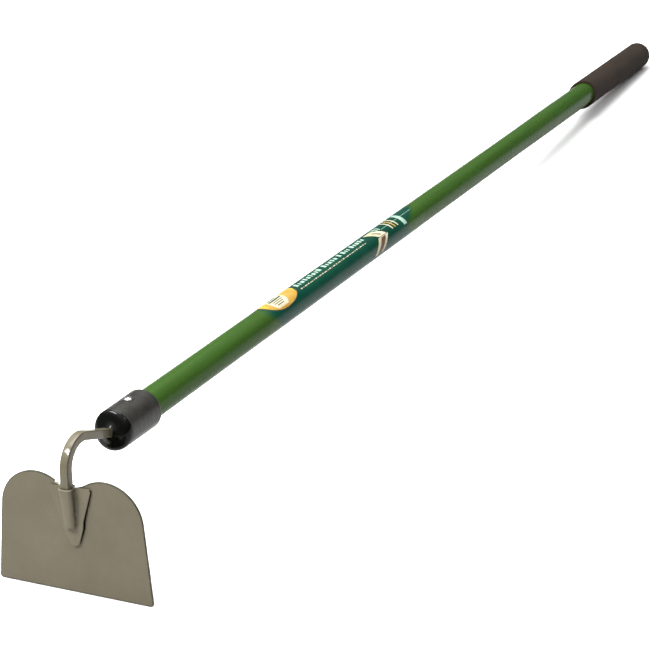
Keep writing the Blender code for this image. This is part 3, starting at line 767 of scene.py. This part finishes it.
def make_ferrule():
    """A short sleeve with faint turning rings, rounded in front and chamfered behind."""
    bore = HANDLE_RADIUS + GAP
    rear = FERRULE_END - FERRULE_CHAMFER
    profile = [(FERRULE_START, bore + 0.0003)]
    profile += arc((FERRULE_START + FERRULE_ROUND, FERRULE_FRONT - FERRULE_ROUND), FERRULE_ROUND, 180, 90, 5)
    for x in np.linspace(0.0045, rear - 0.0006, 24):
        taper = (FERRULE_REAR - FERRULE_FRONT) * (x - 0.003) / 0.048
        profile.append((x, FERRULE_FRONT + taper + 0.00006 * math.sin(x * 900)))
    profile += arc((rear, FERRULE_REAR - FERRULE_CHAMFER), FERRULE_CHAMFER, 86, 2, 10)
    profile += [(FERRULE_END, bore + 0.0002), (FERRULE_END - 0.0002, bore), (FERRULE_START + 0.0003, bore)]
    profile.append(profile[0])
    ferrule = piece("ferrule_sleeve", lathe(profile, 160), TOOL, [FERRULE_SATIN], "ferrule_satin", "ferrule")
    carve(ferrule, screw_cutter(SEAT, HEAD_RADIUS + GAP, 64))
    carve(ferrule, screw_cutter(HOLE_START, HOLE_RADIUS))


def recess_arm(top, across):
    """One arm of a cross recess, narrower at its floor than at its mouth."""
    rings = []
    for x, half_length, half_width in ((top - 0.0015, 0.0013, 0.0004), (top + 0.0008, 0.0031, 0.00075)):
        y, z = (half_length, half_width) if across else (half_width, half_length)
        rings.append([(x, y, z), (x, -y, z), (x, -y, -z), (x, y, -z)])
    return mesh_object("cutter", loft(rings), on_screw_axis())


def make_screw():
    seat = SEAT + GAP
    top = seat + HEAD_RIM + HEAD_DOME
    dome = (HEAD_RADIUS ** 2 + HEAD_DOME ** 2) / (2.0 * HEAD_DOME)
    spread = math.degrees(math.asin(HEAD_RADIUS / dome))
    profile = [(SCREW_TIP, 0.0), (SCREW_TIP, 0.0009), (0.0034, SCREW_SHANK), (seat, SCREW_SHANK),
               (seat, HEAD_RADIUS - 0.0002), (seat + 0.0002, HEAD_RADIUS)]
    profile += arc((top - dome, 0.0), dome, spread, 0, 20)
    screw = piece("screw_pan_head", lathe(profile, 72), on_screw_axis(), [SCREW_ZINC], "screw_zinc",
                  "ferrule_screw")
    for across in (True, False):
        carve(screw, recess_arm(top, across))


# ---------------------------------------------------------------- handle, label, grip
def make_handle():
    """The tube, which swells a little towards the grip."""
    chamfer = TUBE_CHAMFER
    profile = [(HANDLE_START, HANDLE_BORE), (HANDLE_START, HANDLE_RADIUS - chamfer)]
    profile += [(x, HANDLE_RADIUS) for x in np.linspace(HANDLE_START + chamfer, SWELL_START, 40)]
    for x in np.linspace(SWELL_START, SWELL_END, 18)[1:]:
        share = (x - SWELL_START) / (SWELL_END - SWELL_START)
        profile.append((x, HANDLE_RADIUS + (SWELL_RADIUS - HANDLE_RADIUS) * ease(share)))
    profile += [(HANDLE_END - chamfer, SWELL_RADIUS), (HANDLE_END, SWELL_RADIUS - chamfer),
                (HANDLE_END, HANDLE_BORE)]
    profile.append(profile[0])
    tube = piece("handle_shaft", lathe(profile, 160), TOOL, [FIBREGLASS], "fibreglass_green", "handle_tube")
    carve(tube, screw_cutter(HOLE_START, HOLE_RADIUS))


def edge(start, slope=0.0, about=0.0, bend=0.0):
    """An ink shape's border, as x in mm at an angle in degrees."""
    return lambda angle: start + slope * (angle - about) + bend * (angle - about) ** 2


class Print:
    """Thin raised ink shapes on the label film, gathered in one mesh with one material a colour."""

    def __init__(self):
        self.shape = bmesh.new()

    def strip(self, colour, level, low, high, left, right, rows=None, columns=12):
        """Fills from left to right, as borders or mm, between two angles in degrees from the top."""
        rows = rows or max(4, int(abs(high - low) / 1.5))
        radius = FILM_RADIUS + INK_LIFT * level + 0.00002
        grid = []
        for i in range(rows + 1):
            angle = low + (high - low) * i / rows
            turn = math.radians(angle)
            start, end = (side(angle) if callable(side) else side for side in (left, right))
            grid.append([self.shape.verts.new((x * MM, -radius * math.sin(turn), radius * math.cos(turn)))
                         for x in np.linspace(start, end, columns + 1)])
        for face in skin(self.shape, grid):
            face.material_index = colour

    def oval(self, colour, level, x, angle, half_length, half_angle):
        def side(sign):
            def border(at):
                return x + sign * half_length * math.sqrt(clamp(1.0 - ((at - angle) / half_angle) ** 2))
            return border
        self.strip(colour, level, angle - half_angle, angle + half_angle, side(-1.0), side(1.0), rows=60)

    def dashes(self, colour, level, low, high, start, stop, lengths, gap, trims):
        """A row of plain dashes whose lengths and trimmed tops repeat, in mm and degrees."""
        x, i = start, 0
        while x < stop:
            end = min(x + lengths[i % len(lengths)], stop)
            self.strip(colour, level, low + trims[i % len(trims)], high, x, end)
            x, i = end + gap, i + 1


def print_badge(p):
    """An oval badge with a pale panel of plain bars."""
    p.oval(INK_DARK, 1, 317.0, -7.0, 36.0, 70.0)
    p.oval(INK_YELLOW, 2, 317.0, -7.0, 32.8, 64.0)
    p.oval(INK_ORANGE, 3, 319.0, 14.0, 29.0, 42.0)
    p.strip(INK_CREAM, 4, -34.0, 45.0, edge(297.0, 0.0, 8.0, 0.0030), edge(327.0, 0.0, 6.0, -0.0036))
    for low, high, left, right in ((-26, -14, 303, 320), (-8, 2, 300, 324), (8, 12, 302, 322),
                                   (18, 22, 302, 320), (28, 32, 304, 317)):
        p.strip(INK_DARK, 5, low, high, left, right)


def print_rows(p):
    """Two rows of dashes, the first in groups, and a thin line past their end."""
    for start, stop in ((356.0, 413.0), (421.0, 452.0), (458.0, 462.0), (468.0, 483.0), (489.0, 519.0)):
        p.dashes(INK_PALE, 2, -10.0, 13.0, start, stop, (4.5, 2.8, 5.4, 3.4, 5.0, 2.6), 2.6,
                 (0.0, 7.0, 7.0, 3.0, 7.0, 0.0, 7.0, 5.0))
    p.strip(INK_PALE, 2, 18.5, 20.0, 560.0, 640.0)
    p.dashes(INK_CREAM, 2, 27.5, 32.0, 356.0, 514.0, (3.4, 1.4, 5.2, 2.8, 6.6, 2.0), 2.0, (0.0, 1.5, 1.0))


def print_figure(p):
    """A plain tapered head on a shaft, with bars above it and beside it."""
    p.strip(INK_CREAM, 3, -6.0, 44.0, edge(526.0, 0.36, -6.0), edge(541.0, 0.62, -6.0, -0.004))
    p.strip(INK_DARK, 4, 8.0, 36.0, edge(538.0, 0.40, 8.0), edge(541.0, 0.40, 8.0))
    p.strip(INK_CREAM, 3, 46.0, 108.0, edge(540.0, -0.29, 46.0), edge(565.0, -0.33, 46.0))
    p.strip(INK_BROWN, 4, 49.0, 108.0, edge(547.5, -0.30, 46.0), edge(558.5, -0.32, 46.0))
    for x in (546.0, 551.5, 557.0):
        p.strip(INK_PALE, 2, -12.0, 16.0, edge(x, 0.05), edge(x + 2.4, 0.05))
    for x, colour in ((575.5, INK_CREAM), (582.5, INK_ORANGE), (589.5, INK_CREAM)):
        p.strip(colour, 2, -16.0, 46.0, edge(x, 0.06), edge(x + 2.6, 0.06))
    p.strip(INK_PALE, 2, -14.0, 62.0, edge(603.5, 0.03), edge(610.5, 0.05))


def make_label():
    """The wrap, thinned at its two ends, and the ink printed on it."""
    inner = HANDLE_RADIUS + 0.00004
    lip = inner + 0.00002
    profile = [(LABEL_START, inner), (LABEL_START, lip)]
    profile += [(x, FILM_RADIUS) for x in np.linspace(LABEL_START + FILM_RAMP, LABEL_END - FILM_RAMP, 60)]
    profile += [(LABEL_END, lip), (LABEL_END, inner), (LABEL_START, inner)]
    piece("label_film", lathe(profile, 160), TOOL, [LABEL_FILM], "label_film", "label")
    p = Print()
    print_badge(p)
    print_rows(p)
    print_figure(p)
    piece("label_print", p.shape, TOOL, INKS, "label_film")


def make_grip():
    """Foam sleeve: slanted soft mouth, closed round end, and a surface that is never quite even."""
    inner = SWELL_RADIUS + GAP
    mouth = 0.0014
    profile = [(GRIP_END - 0.007, 0.0), (GRIP_END - 0.007, inner)]
    profile += [(x, inner) for x in np.linspace(GRIP_START + 0.06, GRIP_START + 0.0006, 8)]
    profile += [(GRIP_START, inner + 0.0006)]
    profile += arc((GRIP_START + mouth, GRIP_RADIUS - mouth), mouth, 180, 90, 6)
    straight = np.linspace(GRIP_START + 0.0024, GRIP_END - GRIP_ROUND - 0.0008, 200)
    profile += [(x, GRIP_RADIUS) for x in straight]
    profile += arc((GRIP_END - GRIP_ROUND, GRIP_RADIUS - GRIP_ROUND), GRIP_ROUND, 90, 0, 22)
    profile += [(GRIP_END, 0.0035), (GRIP_END, 0.0)]

    def settle(p):
        out = math.hypot(p.y, p.z)
        fade = 1.0 - ease(clamp((p.x - GRIP_START) / GRIP_SLANT_REACH))
        x = p.x + (GRIP_SLANT_Y * p.y + GRIP_SLANT_Z * p.z) * fade
        if out < inner + 0.0007:
            return Vector((x, p.y, p.z))
        slow = wobble((x * 0.35, p.y, p.z), 60.0, 0.00022, 4.2)
        pores = wobble((x, p.y, p.z), 420.0, 0.00010, 9.7) + wobble((x, p.y, p.z), 900.0, 0.00005, 2.3)
        scale = 1.0 + (slow + pores) / out
        return Vector((x, p.y * scale, p.z * scale))

    piece("grip_foam", lathe(profile, 256, settle), TOOL, [FOAM], "foam_dark", "grip", sharp=70.0)


# ---------------------------------------------------------------- the object
BLADE_PAINT = paint("taupe_blade", TAUPE, 0.46)
SHANK_PAINT = paint("taupe_shank", TAUPE, 0.14, 0.28)
PATCH_PAINT = paint("taupe_patch", tint(TAUPE, 1.06), 0.38)
NOSE_GLOSS = gloss_black("gloss_black")
FERRULE_SATIN = satin_black("satin_black")
SCREW_ZINC = zinc("bright_zinc")
FIBREGLASS = fibreglass("green_fibreglass")
LABEL_FILM = film("teal_film")
FOAM = foam("dark_foam")
# Near-black matt standing in for the shadow under the flange's lifted side.
GAP_SHADOW = painted_shadow_black("gap_shadow")
INK_DARK, INK_YELLOW, INK_ORANGE, INK_CREAM, INK_PALE, INK_BROWN = range(6)
INKS = (
    ink("ink_dark", (0.010, 0.030, 0.026), (0.020, 0.045, 0.036), 0.2),
    ink("ink_yellow", (0.46, 0.31, 0.045), (0.42, 0.23, 0.024)),
    ink("ink_orange", (0.42, 0.26, 0.055), (0.36, 0.18, 0.030)),
    ink("ink_cream", (0.54, 0.50, 0.38), (0.42, 0.37, 0.22)),
    ink("ink_pale", (0.36, 0.49, 0.41), (0.23, 0.36, 0.29)),
    ink("ink_brown", (0.075, 0.045, 0.035), (0.14, 0.085, 0.06), 0.2),
)

make_handle()
make_label()
make_grip()
make_nose()
make_ferrule()
make_screw()
make_shank()
make_blade()
make_patch()
make_weld()

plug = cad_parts["end_plug"]
plug.data.materials.clear()
plug.data.materials.append(moulded("moulded_black"))


# ---------------------------------------------------------------- floor, light, camera
CAMERA_PLACE = (-2.031154, -0.877603, 0.879068)
CAMERA_TURN = (66.48554, 3.59285, -64.66124)
CAMERA_LENS, CAMERA_SENSOR = 111.366, 36.0
FLOOR_HALF, FLOOR_DROP = 30.0, 0.0004


def make_floor():
    """Pale floor. It looks white to the camera, and throws back less light than it shows."""
    shape = bmesh.new()
    bmesh.ops.create_grid(shape, x_segments=8, y_segments=8, size=FLOOR_HALF)
    floor = mesh_object("floor", shape, Matrix.Translation((0.0, 0.0, -FLOOR_DROP)))
    n = Surface("pale_floor", Specular_IOR_Level=0.1)
    dim = n.mix(n.noise(3.0), (0.50, 0.50, 0.50), (0.54, 0.54, 0.54))
    n.set("Base Color", n.mix(n.node("LightPath").outputs["Is Camera Ray"], dim, (0.96, 0.96, 0.96)))
    n.set("Roughness", n.span(n.noise(8.0), 0.3, 0.7, 0.9, 0.95))
    floor.data.materials.append(n.material)


def make_light(name, place, aim, size, power):
    light = bpy.data.lights.new(name, "AREA")
    light.shape, light.size, light.size_y = "RECTANGLE", size[0], size[1]
    light.energy = power
    obj = bpy.data.objects.new(name, light)
    turn = (Vector(aim) - Vector(place)).to_track_quat("-Z", "Y").to_matrix().to_4x4()
    obj.matrix_world = Matrix.Translation(place) @ turn
    bpy.context.scene.collection.objects.link(obj)


def make_world():
    """A dome that is bright overhead and dimmer on the camera's side, behind a plain pale backdrop."""
    world = bpy.data.worlds.new("studio")
    world.use_nodes = True
    t = Tree(world.node_tree)
    split = t.node("SeparateXYZ", {"Vector": t.node("TexCoord").outputs["Generated"]}).outputs
    dome = t.span(split["Z"], 0.30, 0.85, 0.15, 2.42, interpolation_type="SMOOTHSTEP")
    side = t.span(split["Y"], -0.75, 0.30, 0.25, 1.0)
    seen = t.node("LightPath").outputs["Is Camera Ray"]
    t.feed(t.tree.nodes["Background"].inputs["Color"],
           t.mix(seen, t.math("MULTIPLY", dome, side), (0.95, 0.95, 0.95)))
    bpy.context.scene.world = world


def make_camera():
    lens = bpy.data.cameras.new("camera")
    lens.lens, lens.sensor_width, lens.clip_end = CAMERA_LENS, CAMERA_SENSOR, 100.0
    camera = bpy.data.objects.new("camera", lens)
    camera.location = CAMERA_PLACE
    camera.rotation_euler = [math.radians(a) for a in CAMERA_TURN]
    bpy.context.scene.collection.objects.link(camera)
    bpy.context.scene.camera = camera


make_floor()
make_world()
make_light("key_front", (-1.63, 0.74, 1.50), (-0.78, 0.0, 0.10), (0.80, 0.42), 38.5)
make_light("soft_top", (-0.15, 0.30, 2.10), (-0.2, 0.0, 0.05), (2.0, 1.4), 61.0)
make_light("soft_side", (-0.75, -1.20, 1.75), (-0.7, 0.0, 0.10), (0.60, 0.35), 7.5)
make_camera()
bpy.context.scene.view_settings.view_transform = "Standard"
